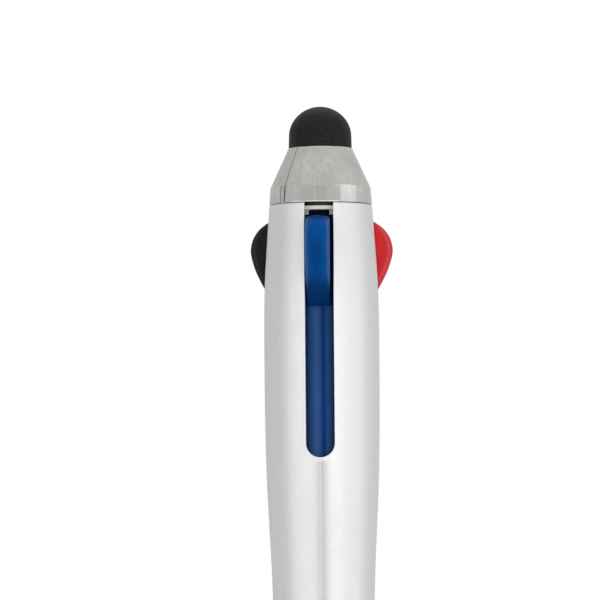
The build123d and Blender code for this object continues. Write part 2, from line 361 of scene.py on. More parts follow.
def gloss_plastic(name, low, high, specular, roughness=0.28):
    """Moulded gloss plastic: soft flow marks, painted shade where it is sunk, a painted highlight on its
    edges and painted sheen down the stem, and an orange-peel skin.
    """
    s = Shader(name, high, roughness, Specular_IOR_Level=specular)
    shade = s.tint(s.span(s.noise(0.7, 3.0, stretch=(1, 1, 0.35)), 0.0, 1.0, 0.3, 0.7), low, high)
    shadow = tuple(0.04 * value for value in low)
    grain = s.span(s.noise(4.5, 3.0, stretch=(1, 1, 0.7)), 0.84, 1.08, 0.3, 0.7)
    # Painted shade: the exposure attribute darkens the colour towards near black where the piece is sunk in
    # the slot.
    shade = s.tint(s.math("MULTIPLY", s.attribute("exposure"), grain), shadow, shade)
    # Paler tint of the painted highlight: the rim attribute carries the highlight line on the edges and the
    # sheen on the stem.
    highlight_tint = tuple(value + 0.16 * (1 - value) for value in high)
    s.uneven_colour(s.math("MULTIPLY", s.attribute("rim"), 0.34), shade, highlight_tint)
    s.uneven_roughness(s.noise(2.2, 4.0), roughness - 0.06, roughness + 0.08)
    s.bump(s.noise(1.8, 2.0), 0.006, 0.6)
    return s.material


COLLAR_FOOT = 131.08
COLLAR_TOP = 131.53


def collar_light(s):
    """Painted light on the core: full on the collar, none in the gap over it, and under it some on the
    jambs.
    """
    height = s.math("SUBTRACT", s.axes().outputs["Z"], NOSE_OPENING / MM)
    under_gap = s.span(height, 1.0, 0.0, COLLAR_TOP - 0.02, COLLAR_TOP + 0.04)
    over_post = s.span(height, 0.0, 1.0, COLLAR_FOOT - 0.02, COLLAR_FOOT + 0.10)
    on_jambs = s.span(s.out_from_axis(), 0.02, 0.42, 3.8, 4.3)
    return s.math("MULTIPLY", under_gap, s.math("MAXIMUM", over_post, on_jambs))


def natural_plastic():
    """Pale undyed plastic of the inner pieces, slightly yellow and waxy, with painted light and shade by
    height and radius.
    """
    s = Shader("natural_plastic", (0.82, 0.83, 0.78), 0.42)
    plastic = s.tint(s.noise(0.8, 3.0), (0.76, 0.78, 0.72), (0.86, 0.87, 0.83))
    # Painted shade: near black wherever collar_light gives no light.
    s.uneven_colour(collar_light(s), (0.012, 0.011, 0.010), plastic)
    s.uneven_roughness(s.noise(2.0, 3.0), 0.34, 0.5)
    s.bump(s.noise(3.0, 2.0), 0.005, 0.5)
    return s.material


def wire_steel(name="wire_steel"):
    """Drawn steel with fine marks."""
    s = Shader(name, (0.62, 0.62, 0.61), 0.3, 1.0)
    s.uneven_colour(s.noise(3.0, 3.0), (0.52, 0.52, 0.51), (0.68, 0.68, 0.67))
    s.uneven_roughness(s.noise(6.0, 3.0), 0.22, 0.4)
    s.bump(s.noise(9.0, 2.0), 0.002, 0.5)
    return s.material


def turned_brass():
    """Brass with fine turning rings."""
    s = Shader("turned_brass", (0.74, 0.55, 0.27), 0.25, 1.0)
    s.uneven_colour(s.noise(1.5, 3.0), (0.66, 0.47, 0.21), (0.80, 0.61, 0.32))
    rings = s.noise(1.0, 2.0, stretch=(0.05, 0.05, 14.0))
    s.uneven_roughness(rings, 0.18, 0.34)
    s.bump(rings, 0.004, 0.6)
    return s.material


def clear_tube():
    """Milky translucent tube with long faint streaks."""
    s = Shader("clear_tube", (0.86, 0.87, 0.85), 0.22, Transmission_Weight=0.55, IOR=1.49)
    streaks = s.noise(0.5, 3.0, stretch=(1, 1, 0.2))
    s.uneven_colour(streaks, (0.80, 0.81, 0.79), (0.90, 0.91, 0.89))
    s.uneven_roughness(s.noise(2.0, 2.0), 0.16, 0.3)
    return s.material


def wet_ink(name, low, high):
    """Thick oily ink."""
    s = Shader(name, high, 0.12, Coat_Weight=0.6, Coat_Roughness=0.05)
    s.uneven_colour(s.noise(0.9, 4.0), low, high)
    s.uneven_roughness(s.noise(1.5, 2.0), 0.08, 0.2)
    return s.material


def floor_paper():
    """Plain pale floor that fades into the white backdrop, for the eye only, as it gets farther away."""
    s = Shader("floor_paper", (0.86, 0.86, 0.86), 0.7)
    s.uneven_colour(s.noise(0.02, 3.0), (0.85, 0.85, 0.85), (0.88, 0.88, 0.88))
    far = s.span(s.out_from_axis(), 0.0, 1.0, 120.0, 700.0, "SMOOTHERSTEP")
    eye = s.node("ShaderNodeLightPath")
    share = s.math("MULTIPLY", far, eye.outputs["Is Camera Ray"])
    backdrop = s.node("ShaderNodeEmission", Color=(1, 1, 1, 1), Strength=1.0)
    blend = s.node("ShaderNodeMixShader", Fac=share)
    output = s.tree.nodes["Material Output"]
    s.tree.links.new(s.surface.outputs["BSDF"], blend.inputs[1])
    s.tree.links.new(backdrop.outputs["Emission"], blend.inputs[2])
    s.tree.links.new(blend.outputs["Shader"], output.inputs["Surface"])
    return s.material


# ---------------------------------------------------------------- silver barrels
BARREL_FOOT, BARREL_TOP = ends_of("upper_barrel")
BARREL_RADIUS = smooth_curve(
    [
        (5.76, BARREL_TOP),
        (6.35, 122.4),
        (6.435, 113.0),
        (6.305, 102.5),
        (5.73, 89.5),
        (5.48, 80.0),
        (5.45, BARREL_FOOT),
    ]
)
BORE = 4.90
LOWER_BORE = 4.60
BORE_STEP = 79.5
SLOT_WIDTH = 3.2
SLOT_FOOT = 103.4
SLOT_EDGE = 0.09  # rounding of the slot's outer edge
BARREL_EDGE = 0.10  # rounding of the barrel's two ends


def barrel_outer(height):
    """Outer radius of the upper barrel, with its two ends rounded."""
    radius = BARREL_RADIUS(height)
    into_end = max(height - (BARREL_TOP - BARREL_EDGE), (BARREL_FOOT + BARREL_EDGE) - height, 0.0)
    into_end = min(into_end, BARREL_EDGE)
    return radius - BARREL_EDGE + sqrt(BARREL_EDGE**2 - into_end**2)


def barrel_bore(height):
    """Inner radius of the upper barrel."""
    step = min(max((height - BORE_STEP) / (BORE - LOWER_BORE), 0.0), 1.0)
    return LOWER_BORE + (BORE - LOWER_BORE) * step


STREAK_SIDE = 0.13
STREAK_WIDTH = 0.72
LINE_WIDTH = 0.075


def flow_marks(sideways, height):
    """Strength at a point of the broad flow streak below a slot and of the fine line in it."""
    below = smooth_step(SLOT_FOOT + 0.1 - height, 0.0, 0.9)
    streak = exp(-((abs(sideways - STREAK_SIDE) / STREAK_WIDTH) ** 1.5)) * below
    line = exp(-((sideways / LINE_WIDTH) ** 2)) * below
    return streak, line


def end_steps(edge, steps=4):
    """Depths into a rounded end, from its outer face."""
    return [edge * (1 - sin(pi / 2 * (1 - k / steps))) for k in range(steps + 1)]


class SlottedShell:
    """One third of the barrel: quads run round the slot like the letter U, with plain rows below."""

    ARC_STEPS = 96
    SIDE_STEPS = 24  # arc steps that reach each side of the third, the rest reach its lower edge
    STRAIGHT_STEPS = 44  # along each straight side of the slot
    OUT_STEPS = 16  # from the slot's edge to the boundary
    OUT_SPREAD = 1.35  # power that sets the first of them closer to the slot
    ROW_SPREAD = 1.7  # power that sets the middle columns of the plain rows closer together
    EDGE_STEPS = 5
    THIRD = radians(60)

    def __init__(self, direction):
        self.direction = direction
        self.half = SLOT_WIDTH / 2
        self.arc_center = SLOT_FOOT + self.half
        self.row_height = self.arc_center - 6.8
        self.vertices = []
        self.faces = []
        self.build()

    def outline(self):
        """Slot outline as (sideways, height, outward direction, boundary angle, boundary height)."""
        points = []
        depths = end_steps(BARREL_EDGE)
        straight = [BARREL_TOP - d for d in depths]
        straight += [BARREL_TOP - BARREL_EDGE - 0.05]
        start = straight[-1]
        drop = (self.arc_center - start) / self.STRAIGHT_STEPS
        straight += [start + drop * k for k in range(1, self.STRAIGHT_STEPS)]
        for height in straight:
            points.append((self.half, height, (1.0, 0.0), self.THIRD, height))
        for k in range(self.ARC_STEPS + 1):
            angle = pi * k / self.ARC_STEPS
            outward = (cos(angle), -sin(angle))
            edge = (self.half * outward[0], self.arc_center + self.half * outward[1])
            points.append((*edge, outward, *self.boundary(k)))
        for height in reversed(straight):
            points.append((-self.half, height, (-1.0, 0.0), -self.THIRD, height))
        return points

    def boundary(self, k):
        """Where the ray of arc step k meets the edge of the U's region."""
        low, high = self.SIDE_STEPS, self.ARC_STEPS - self.SIDE_STEPS
        if k < low:
            return self.THIRD, self.arc_center + (self.row_height - self.arc_center) * k / low
        if k > high:
            rest = (self.ARC_STEPS - k) / low
            return -self.THIRD, self.arc_center + (self.row_height - self.arc_center) * rest
        across = 1 - 2 * (k - low) / (high - low)
        return self.THIRD * abs(across) ** self.ROW_SPREAD * (1 if across > 0 else -1), self.row_height

    def add(self, radius, angle, height):
        """Vertex at an angle from the slot's middle. Returns its number."""
        x, y = around_slot(self.direction, radius * cos(angle), radius * sin(angle))
        self.vertices.append(to_world(x, y, height))
        return len(self.vertices) - 1

    def outer_radius(self, angle, height):
        """Outer radius with the shallow flow crease below the slot."""
        radius = barrel_outer(height)
        streak, line = flow_marks(radius * angle, height)
        return radius - 0.022 * streak + 0.006 * line

    def column(self, point):
        """Vertices from the bore up the slot's wall, over its rounded edge and out to the boundary."""
        sideways, height, outward, far_angle, far_height = point
        column = []

        def edge_vertex(out, depth):
            s, z = sideways + outward[0] * out, height + outward[1] * out
            z = min(z, BARREL_TOP)
            radius = BORE if depth is None else barrel_outer(z) - depth
            column.append(self.add(radius, asin(s / radius), z))
            return asin(s / radius), z

        edge_vertex(0.0, None)
        edge_vertex(0.0, SLOT_EDGE + 0.03)
        for k in range(self.EDGE_STEPS + 1):
            turn = pi / 2 * k / self.EDGE_STEPS
            edge_vertex(SLOT_EDGE * (1 - cos(turn)), SLOT_EDGE * (1 - sin(turn)))
        near_angle, near_height = edge_vertex(SLOT_EDGE + 0.04, 0.0)
        for k in range(1, self.OUT_STEPS + 1):
            share = (k / self.OUT_STEPS) ** self.OUT_SPREAD
            angle = near_angle + (far_angle - near_angle) * share
            z = near_height + (far_height - near_height) * share
            column.append(self.add(self.outer_radius(angle, z), angle, z))
        return column

    def bore_column(self, point):
        """Vertices of the bore from the slot's wall out to the boundary."""
        sideways, height, outward, far_angle, far_height = point
        near_angle = asin(sideways / BORE)
        column = []
        for k in range(self.OUT_STEPS + 1):
            share = k / self.OUT_STEPS
            angle = near_angle + (far_angle - near_angle) * share
            z = height + (far_height - height) * share
            column.append(self.add(BORE, angle, z))
        return column

    def quads(self, a, b):
        for i in range(len(a) - 1):
            self.faces.append((a[i], a[i + 1], b[i + 1], b[i]))

    def end_face(self, column, bore):
        """Flat end of the third at the barrel's mouth, on one side of the slot."""
        first = len(column) - self.OUT_STEPS
        self.faces.append((*column[: first + 1], bore[1], bore[0]))
        for k in range(1, self.OUT_STEPS):
            self.faces.append((column[first + k - 1], column[first + k], bore[k + 1], bore[k]))

    def lower_rows(self):
        """Plain rows from the U's lower edge down to the barrel's foot, outside and in the bore."""
        angles = [self.boundary(k)[0] for k in range(self.SIDE_STEPS, self.ARC_STEPS - self.SIDE_STEPS + 1)]
        rows = 50
        stop = BARREL_FOOT + BARREL_EDGE + 0.05
        heights = [self.row_height + (stop - self.row_height) * k / rows for k in range(rows + 1)]
        heights += [BARREL_FOOT + d for d in reversed(end_steps(BARREL_EDGE))]
        outside = [[self.add(self.outer_radius(a, z), a, z) for a in angles] for z in heights]
        bore_heights = [self.row_height, BORE_STEP + BORE - LOWER_BORE, BORE_STEP, BARREL_FOOT]
        inside = [[self.add(barrel_bore(z), a, z) for a in angles] for z in bore_heights]
        for grid in (outside, inside, [outside[-1], inside[-1]]):
            for a, b in zip(grid, grid[1:]):
                self.quads(a, b)

    def build(self):
        points = self.outline()
        columns = [self.column(p) for p in points]
        bores = [self.bore_column(p) for p in points]
        for a, b in zip(columns, columns[1:]):
            self.quads(a, b)
        for a, b in zip(bores, bores[1:]):
            self.quads(a, b)
        self.end_face(columns[0], bores[0])
        self.end_face(columns[-1], bores[-1])
        self.lower_rows()


def upper_barrel():
    """The slotted silver shell, from three thirds, with the flow marks kept as mesh attributes."""
    vertices, faces = [], []
    for direction in SLOT_DIRECTION.values():
        third = SlottedShell(direction)
        first = len(vertices)
        vertices += third.vertices
        faces += [tuple(first + i for i in face) for face in third.faces]
    piece = new_piece("silver_upper_shell", vertices, faces, 40)
    mesh = piece.data
    streak = mesh.attributes.new("flow", "FLOAT", "POINT")
    line = mesh.attributes.new("line", "FLOAT", "POINT")
    for i, vertex in enumerate(mesh.vertices):
        height = (vertex.co.z - NOSE_OPENING) / MM
        plan = atan2(vertex.co.y, vertex.co.x)
        radius = hypot(vertex.co.x, vertex.co.y) / MM
        for direction in SLOT_DIRECTION.values():
            away = (plan - radians(direction) + pi) % (2 * pi) - pi
            if abs(away) < radians(60):
                streak.data[i].value, line.data[i].value = flow_marks(radius * away, height)
    return hand_over(piece, "silver", "barrel", "silver_plastic", "upper_barrel")


def lower_barrel():
    """Lower shell with its silver shoulder showing between the ring and the grip."""
    foot, top = ends_of("lower_barrel")
    bore = 3.95
    nose_spigot = 4.46
    ring_spigot = 4.56
    shoulder_foot = 58.0
    shoulder_top = 66.0
    outline = rounded(
        [
            (bore, foot, 0),
            (nose_spigot, foot, 0.1),
            (nose_spigot, 20.25, 0),
            (4.80, 20.25, 0.05),
            (4.80, shoulder_foot, 0),
            (5.55, shoulder_foot, 0.15),
            (5.42, shoulder_top, 0.12),
            (ring_spigot, shoulder_top, 0),
            (ring_spigot, top, 0.15),
            (bore, top, 0.1),
        ]
    )
    piece = lathe("silver_lower_shell", outline)
    return hand_over(piece, "silver", "barrel", "silver_plastic", "lower_barrel")


# ---------------------------------------------------------------- chrome
def top_cone():
    """Chrome cone over its band, with a softened crease."""
    foot, top = ends_of("top_cone")
    outline = rounded(
        [
            (5.76, foot, 0.09),
            (5.60, 133.85, 0.12),
            (3.56, top, 0.08),
            (1.94, top, 0.05),
            (1.94, 137.0, 0),
            (3.20, 137.0, 0.3),
            (4.74, 134.15, 0.3),
            (4.74, foot, 0.05),
        ]
    )
    piece = lathe("chrome_cone", outline, around=256)
    return hand_over(piece, "chrome", "barrel", "chrome_plate", "top_cone")


def center_ring():
    """Chrome trim ring with a crowned outside."""
    foot, top = ends_of("center_ring")
    crown = []
    steps = 12
    for k in range(steps + 1):
        share = k / steps
        height = foot + 0.06 + (top - foot - 0.12) * share
        crown.append((5.47 + 0.15 * (1 - (2 * share - 1) ** 2), height))
    lower_edge = [(4.60, foot), (5.38, foot), (5.43, foot + 0.02)]
    upper_edge = [(5.43, top - 0.02), (5.38, top), (4.60, top)]
    piece = lathe("chrome_ring", lower_edge + crown + upper_edge)
    return hand_over(piece, "clean_chrome", "barrel", "chrome_plate", "center_ring")


def nose_cone():
    """Chrome nose, drawn in to a rounded lip round the writing hole."""
    top = ends_of("nose_cone")[1]
    ogive = smooth_curve([(2.0, 0.0), (3.30, 5.0), (4.35, 10.0), (5.07, 15.0), (5.50, top)])
    rows = 28
    heights = [0.25 + (top - 0.40) * k / rows for k in range(rows + 1)]
    side = [(ogive(height), height) for height in heights]
    lip = [(1.72, 0.0), (1.86, 0.03), (1.98, 0.10)]
    rim = [(5.48, top - 0.05), (5.42, top), (4.50, top)]
    inside = [(4.50, 14.2), (4.0, 14.2), (1.30, 0.6), (1.30, 0.08), (1.36, 0.02), (1.44, 0.0)]
    piece = lathe("chrome_nose", lip + side + rim + inside)
    return hand_over(piece, "clean_chrome", "barrel", "chrome_plate", "nose_cone")


# ---------------------------------------------------------------- rubber
def stylus_dome():
    """Rubber dome with a short skirt and the plug that holds it."""
    foot, top = ends_of("stylus_tip")
    seat = ends_of("top_cone")[1] + 0.01
    radius = 3.50
    shoulder = 139.7
    fullness = 1.02  # power of a slightly pointed dome, 1 would make it elliptical
    dome = []
    steps = 40
    for k in range(steps):
        angle = pi / 2 * k / steps
        height = shoulder + (top - shoulder) * sin(angle) ** fullness
        dome.append((radius * cos(angle) ** fullness, height))
    dome.append((0.0, top))
    plug = [(0.0, foot), (2.05, foot), (2.60, 136.9), (2.60, 136.95)]
    neck = [(1.90, 136.95), (1.90, seat)]
    skirt = [(3.42, seat), (radius, seat + 0.03), (3.54, seat + 0.10), (3.53, seat + 0.3)]
    piece = lathe("rubber_dome", plug + neck + skirt + dome)
    return hand_over(piece, "dome", "barrel", "black_rubber", "stylus_tip")


def grip_sleeve():
    """Rubber sleeve: two sets of rounded grooves and a plain stretch between them."""
    foot, top = ends_of("grip_sleeve")
    radius = 5.60
    bore = 4.84
    groove_depth = 0.35
    half = 0.45
    steps = 16
    outer = [(5.40, foot), (5.52, foot + 0.04), (radius, foot + 0.16)]
    for middle in (22.4, 24.2, 26.0, 50.0, 51.8, 53.6, 55.4):
        for k in range(steps + 1):
            turn = k / steps
            depth = groove_depth * (0.5 - 0.5 * cos(2 * pi * turn)) ** 0.8
            outer.append((radius - depth, middle - half + 2 * half * turn))
    outer += [(radius, top - 0.16), (5.52, top - 0.04), (5.40, top)]
    piece = lathe("rubber_grip", outer + [(bore, top), (bore, foot)])
    return hand_over(piece, "grip", "barrel", "black_rubber", "grip_sleeve")


# ---------------------------------------------------------------- sliders
HEAD_HALF = 2.75 / 2
HEAD_HANG = {"blue": -0.12, "red": 0.12, "black": 0.12}  # how far each hangs to one side of its slot
HEAD_TOP = 130.4
HEAD_FOOT = 120.4
HEAD_ARCH = 0.28  # how far the top's sides lie below its middle
ARCH_START = 127.0
HEAD_ROUNDING = 0.75
HEAD_BACK = 4.0
HEAD_CREST = smooth_curve(
    [
        (5.00, 131.3),
        (6.20, HEAD_TOP),
        (7.62, 129.45),
        (8.75, 127.40),
        (8.38, 125.40),
        (7.16, 123.05),
        (5.30, HEAD_FOOT),
        (3.80, 118.2),
    ]
)
CREST_MARGIN = 0.02
STEM_OUTER = 4.72
STEM_INNER = 3.5
STEM_HALF = 3.9 / 2
GROOVE_SIDE = 0.36
GROOVE_WIDTH = 0.17
GROOVE_DEPTH = 0.10
SOCKET_OFFSET = 2.5
SOCKET_R = 1.75
SOCKET_BORE = 1.30


def closed_loft(name, sections):
    """Closed mesh through sections of equal point counts, capped at both ends."""
    size = len(sections[0])
    vertices = [point for section in sections for point in section]
    faces = []
    for row in range(len(sections) - 1):
        for k in range(size):
            n = (k + 1) % size
            faces.append((row * size + k, row * size + n, (row + 1) * size + n, (row + 1) * size + k))
    faces.append(tuple(reversed(range(size))))
    faces.append(tuple(range((len(sections) - 1) * size, len(sections) * size)))
    return new_piece(name, vertices, faces, 30)


def head_section(direction, hang, height, shrink=0.0):
    """Cross-section of the finger piece: flat back inside the barrel, rounded flanks outside."""
    reach = HEAD_CREST(height) - CREST_MARGIN - shrink
    half = HEAD_HALF - 0.5 * shrink
    rounding = HEAD_ROUNDING - 0.40 * smooth_step(height, HEAD_TOP - 1.5, HEAD_TOP - 0.2)
    rounding = min(rounding, half * 0.8, max(reach - HEAD_BACK - 0.3, 0.1))
    corner_steps = 10
    shoulder = reach - rounding - 0.04
    flank_shares = (0.0, 0.35, 0.6, 0.75, 0.84, 0.90, 0.95, 1.0)
    flank = [HEAD_BACK + (shoulder - HEAD_BACK) * share for share in flank_shares]
    outline = [(radial, -half) for radial in flank]
    for side in (-1, 1):
        steps = range(corner_steps + 1)
        for k in steps if side < 0 else reversed(steps):
            turn = pi / 2 * k / corner_steps
            outline.append((reach - rounding * (1 - sin(turn)), side * (half - rounding * (1 - cos(turn)))))
        if side < 0:
            outline += [(reach, -(half - rounding) * 0.5), (reach, 0.0), (reach, (half - rounding) * 0.5)]
    outline += [(radial, half) for radial in reversed(flank)]
    arch = min(max((height - ARCH_START) / (HEAD_TOP - ARCH_START), 0.0), 1.0) ** 2
    points = []
    for radial, sideways in outline:
        x, y = around_slot(direction, radial, sideways + hang)
        points.append(to_world(x, y, height - HEAD_ARCH * arch * (sideways / HEAD_HALF) ** 2))
    return points


def slider_head(direction, hang):
    """Finger piece from its foot in the slot up to its arched top."""
    sections = [
        head_section(direction, hang, HEAD_FOOT, 0.22),
        head_section(direction, hang, HEAD_FOOT + 0.06, 0.08),
    ]
    rows = 60
    start = HEAD_FOOT + 0.2
    stop = HEAD_TOP - 0.14
    for k in range(rows + 1):
        share = k / rows
        sections.append(head_section(direction, hang, start + (stop - start) * (1 - (1 - share) ** 1.4)))
    for rise, shrink in ((0.10, 0.02), (0.05, 0.07), (0.015, 0.14), (0.0, 0.24)):
        sections.append(head_section(direction, hang, HEAD_TOP - rise, shrink))
    return closed_loft("head", sections)


def stem_section(direction, height, shrink=0.0, groove=1.0):
    """Curved plate section with rounded corners and a flow groove in its outer face."""
    outer, inner, half = STEM_OUTER - shrink, STEM_INNER + shrink, STEM_HALF - shrink
    corner = 0.18
    outline = []
    steps = 14
    face_steps = 40
    for k in range(face_steps + 1):
        s = (half - corner) * (2 * k / face_steps - 1)
        dip = GROOVE_DEPTH * exp(-(((s - GROOVE_SIDE) / GROOVE_WIDTH) ** 2)) * groove
        outline.append((sqrt(outer**2 - s**2) - dip, s))
    edge = sqrt(outer**2 - half**2)
    outline.append((edge + 0.02, half - 0.03))
    outline.append((edge - corner, half))
    inner_edge = sqrt(inner**2 - half**2)
    outline.append((inner_edge + corner, half))
    for k in range(steps + 1):
        s = (half - corner * 0.5) * (1 - 2 * k / steps)
        outline.append((sqrt(inner**2 - s**2), s))
    outline.append((inner_edge + corner, -half))
    outline.append((edge - corner, -half))
    outline.append((edge + 0.02, -half + 0.03))
    points = []
    for radial, sideways in outline:
        x, y = around_slot(direction, radial, sideways)
        points.append(to_world(x, y, height))
    return points


def slider_stem(direction, foot, top):
    """The plate that runs in the bore."""
    sections = [stem_section(direction, foot, 0.12), stem_section(direction, foot + 0.12)]
    groove_end = HEAD_FOOT - 0.3
    sections.append(stem_section(direction, groove_end))
    sections.append(stem_section(direction, groove_end + 0.4, 0.0, 0.0))
    sections += [stem_section(direction, top - 0.12), stem_section(direction, top, 0.12)]
    return closed_loft("stem", sections)


def stop_pad(direction, foot, top):
    """Small block on the stem's top that meets the collar."""
    half = 0.92
    inner = 3.52
    outer = 4.08
    points = []
    for height in (foot, top):
        ring = []
        for radial, sideways in ((inner, -half), (outer, -half), (outer, half), (inner, half)):
            x, y = around_slot(direction, radial, sideways)
            ring.append(to_world(x, y, height))
        points.append(ring)
    return closed_loft("pad", points)


def combine(target, tool, operation):
    """Apply an exact boolean of two pieces, and drop the second."""
    modifier = target.modifiers.new("join", "BOOLEAN")
    modifier.operation = operation
    modifier.solver = "EXACT"
    modifier.object = tool
    bpy.context.view_layer.update()
    graph = bpy.context.evaluated_depsgraph_get()
    mesh = bpy.data.meshes.new_from_object(target.evaluated_get(graph), depsgraph=graph)
    target.modifiers.clear()
    target.data = mesh
    bpy.data.objects.remove(tool)


def on_head(radial, height):
    return height > HEAD_FOOT and radial > STEM_OUTER + 0.05


def in_groove(sideways):
    """1 in the stem's flow groove, 0 away from it."""
    return exp(-(((sideways - GROOVE_SIDE) / (1.3 * GROOVE_WIDTH)) ** 2))


def head_exposure(above, across, height):
    """Exposure of a finger piece, painted into its colour as light and shade, at a point so far above the
    barrel and across from the piece's middle.
    """
    # Painted shade near the barrel and in the slot; the flanks above the barrel stay paler.
    light = 0.46 + 0.54 * smooth_step(above, 0.0, 1.5)
    flank = smooth_step(abs(across), HEAD_HALF - 0.10, HEAD_HALF - 0.01)
    light += (0.78 + 0.22 * smooth_step(above, 0.0, 0.4) - light) * flank
    sunk = 1 - smooth_step(above, -0.35, 0.25)
    below_arch = height + HEAD_ARCH * (across / HEAD_HALF) ** 2
    # Painted shade: a slightly darker band on the top's bevel.
    bevel = smooth_step(below_arch, HEAD_TOP - 0.62, HEAD_TOP - 0.52)
    # Painted reflection: a dark streak down the middle of the face.
    dark_streak_reflection = smooth_step(height, 122.2, 124.2) * (1 - smooth_step(height, 126.5, 128.5))
    dark_streak_reflection *= 0.24 * exp(-((across / 0.55) ** 2))
    return light * (1 - 0.85 * flank * sunk) * (1 - 0.15 * bevel) * (1 - dark_streak_reflection)


def stem_exposure(sideways, height):
    """Exposure of the stem, painted as shade: dark beside the slot's walls, darker in the groove, and hidden
    at its top.
    """
    if height > HEAD_TOP - 1.2:
        return 0.02
    light = 0.74 - 0.50 * smooth_step(abs(sideways + 0.05), 0.90, 1.42)
    return light * (1 - 0.35 * in_groove(sideways))


# The painted highlight line on each finger piece: its depth below the crest, its strength, and how much of
# it goes on up to the crest.
RIM = {"blue": (0.33, 1.0, 0.0), "red": (0.86, 0.9, 0.5), "black": (0.86, 0.35, 0.5)}
RIM_WIDTH = 0.14
# Strength of the painted sheen on each colour's stem.
STEM_SHEEN = {"blue": 0.88, "red": 0.25, "black": 0.2}


def rim_line(colour, radial, height):
    """Strength of the painted highlight line along the finger piece's edges."""
    depth, strength, above_line = RIM[colour]
    below_crest = HEAD_CREST(height) - radial
    ends = smooth_step(height, HEAD_FOOT + 1.0, HEAD_FOOT + 3.5)
    ends *= 1 - smooth_step(height, HEAD_TOP - 0.8, HEAD_TOP)
    line = exp(-(((below_crest - depth) / RIM_WIDTH) ** 2))
    if below_crest < depth:
        line = above_line + (1 - above_line) * line
    return strength * ends * line * smooth_step(radial - BARREL_RADIUS(height), -0.6, 0.3)


def stem_sheen(colour, sideways, height):
    """Strength of the painted sheen down the stem, strongest along a band left of its middle."""
    if height > HEAD_FOOT - 0.1:
        return 0.0
    broad = STEM_SHEEN[colour] * (0.42 + 0.62 * exp(-(((sideways + 0.45) / 0.33) ** 2)))
    edge = 1 - smooth_step(abs(sideways), 1.35, 1.6)
    upward = 0.95 - 0.30 * smooth_step(height, SLOT_FOOT, HEAD_FOOT - 0.5)
    return broad * edge * (1 - in_groove(sideways)) * upward


def mark_exposure(piece, colour):
    """Keep two values on the mesh for the plastic's painted light and shade.

    The exposure is how open a point is to the light, painted into the colour as shade: 1 out in the air,
    near 0 deep in the slot. The rim is the strength of the painted highlight line or sheen there.
    """
    exposure = piece.data.attributes.new("exposure", "FLOAT", "POINT")
    rim = piece.data.attributes.new("rim", "FLOAT", "POINT")
    angle = radians(SLOT_DIRECTION[colour])
    for i, vertex in enumerate(piece.data.vertices):
        x, y = vertex.co.x / MM, vertex.co.y / MM
        radial = x * cos(angle) + y * sin(angle)
        sideways = y * cos(angle) - x * sin(angle)
        height = (vertex.co.z - NOSE_OPENING) / MM
        if on_head(radial, height):
            above = radial - BARREL_RADIUS(height)
            exposure.data[i].value = head_exposure(above, sideways - HEAD_HANG[colour], height)
            rim.data[i].value = rim_line(colour, radial, height)
        else:
            exposure.data[i].value = stem_exposure(sideways, height)
            rim.data[i].value = stem_sheen(colour, sideways, height)


def slider(colour):
    """Finger piece, stem, stop pad and refill socket in one moulding."""
    direction = SLOT_DIRECTION[colour]
    foot, top = ends_of(f"slider_{colour}")
    center = around_slot(direction, SOCKET_OFFSET, 0.0)
    socket_top = foot + 7.0
    bore_top = foot + 5.2
    piece = slider_stem(direction, foot, HEAD_TOP - HEAD_ARCH)
    combine(piece, stop_pad(direction, HEAD_TOP - HEAD_ARCH - 0.5, top), "UNION")
    combine(piece, slider_head(direction, HEAD_HANG[colour]), "UNION")
    socket = [(0, foot, 0), (SOCKET_R, foot, 0.12), (SOCKET_R, socket_top, 0.25), (0, socket_top, 0)]
    combine(piece, lathe("socket", rounded(socket), center, 64), "UNION")
    bore = [(0, foot - 1.0), (SOCKET_BORE, foot - 1.0), (SOCKET_BORE, bore_top), (0, bore_top)]
    combine(piece, lathe("bore", bore, center, 64), "DIFFERENCE")
    piece.name = f"{colour}_slider"
    piece.data.name = piece.name
    piece.data.shade_smooth()
    piece.data.set_sharp_from_angle(angle=radians(32))
    mark_exposure(piece, colour)
    piece.data.materials.clear()
    return hand_over(piece, colour, f"slider_{colour}", f"{colour}_plastic", f"slider_{colour}")


# ---------------------------------------------------------------- springs and refills
WIRE_R = 0.15
TURNS = 11.0
CLOSED_TURNS = 1.2


def refill_place(part, colour):
    """Node name, middle in plan, and heights of the foot and top of one colour's refill part or spring."""
    node = f"{part}_{colour}"
    return node, around_slot(SLOT_DIRECTION[colour], SOCKET_OFFSET, 0.0), *ends_of(node)


def spring_height(turn, foot, top):
    """Height of the wire after so many turns: close coils at the ends, open ones between."""
    first, last = foot + WIRE_R, top - WIRE_R
    close = 2.05 * WIRE_R * CLOSED_TURNS
    if turn < CLOSED_TURNS:
        return first + close * turn / CLOSED_TURNS
    if turn > TURNS - CLOSED_TURNS:
        return last - close * (TURNS - turn) / CLOSED_TURNS
    share = (turn - CLOSED_TURNS) / (TURNS - 2 * CLOSED_TURNS)
    return first + close + (last - first - 2 * close) * share


def return_spring(colour):
    """Coil spring round the refill, close-wound at both ends."""
    node, center, foot, top = refill_place("return_spring", colour)
    coil_r = 1.70
    per_turn = 28
    wire_steps = 10
    count = int(ceil(TURNS * per_turn))
    sections = []
    for i in range(count + 1):
        turn = TURNS * i / count
        angle = 2 * pi * turn
        ring = []
        for k in range(wire_steps):
            around = 2 * pi * k / wire_steps
            radius = coil_r + WIRE_R * cos(around)
            height = spring_height(turn, foot, top) + WIRE_R * sin(around)
            ring.append(to_world(center[0] + radius * cos(angle), center[1] + radius * sin(angle), height))
        sections.append(ring)
    piece = closed_loft(f"{colour}_spring", sections)
    hand_over(piece, "wire", "barrel", "spring_steel", node)
    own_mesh(piece)
    return piece


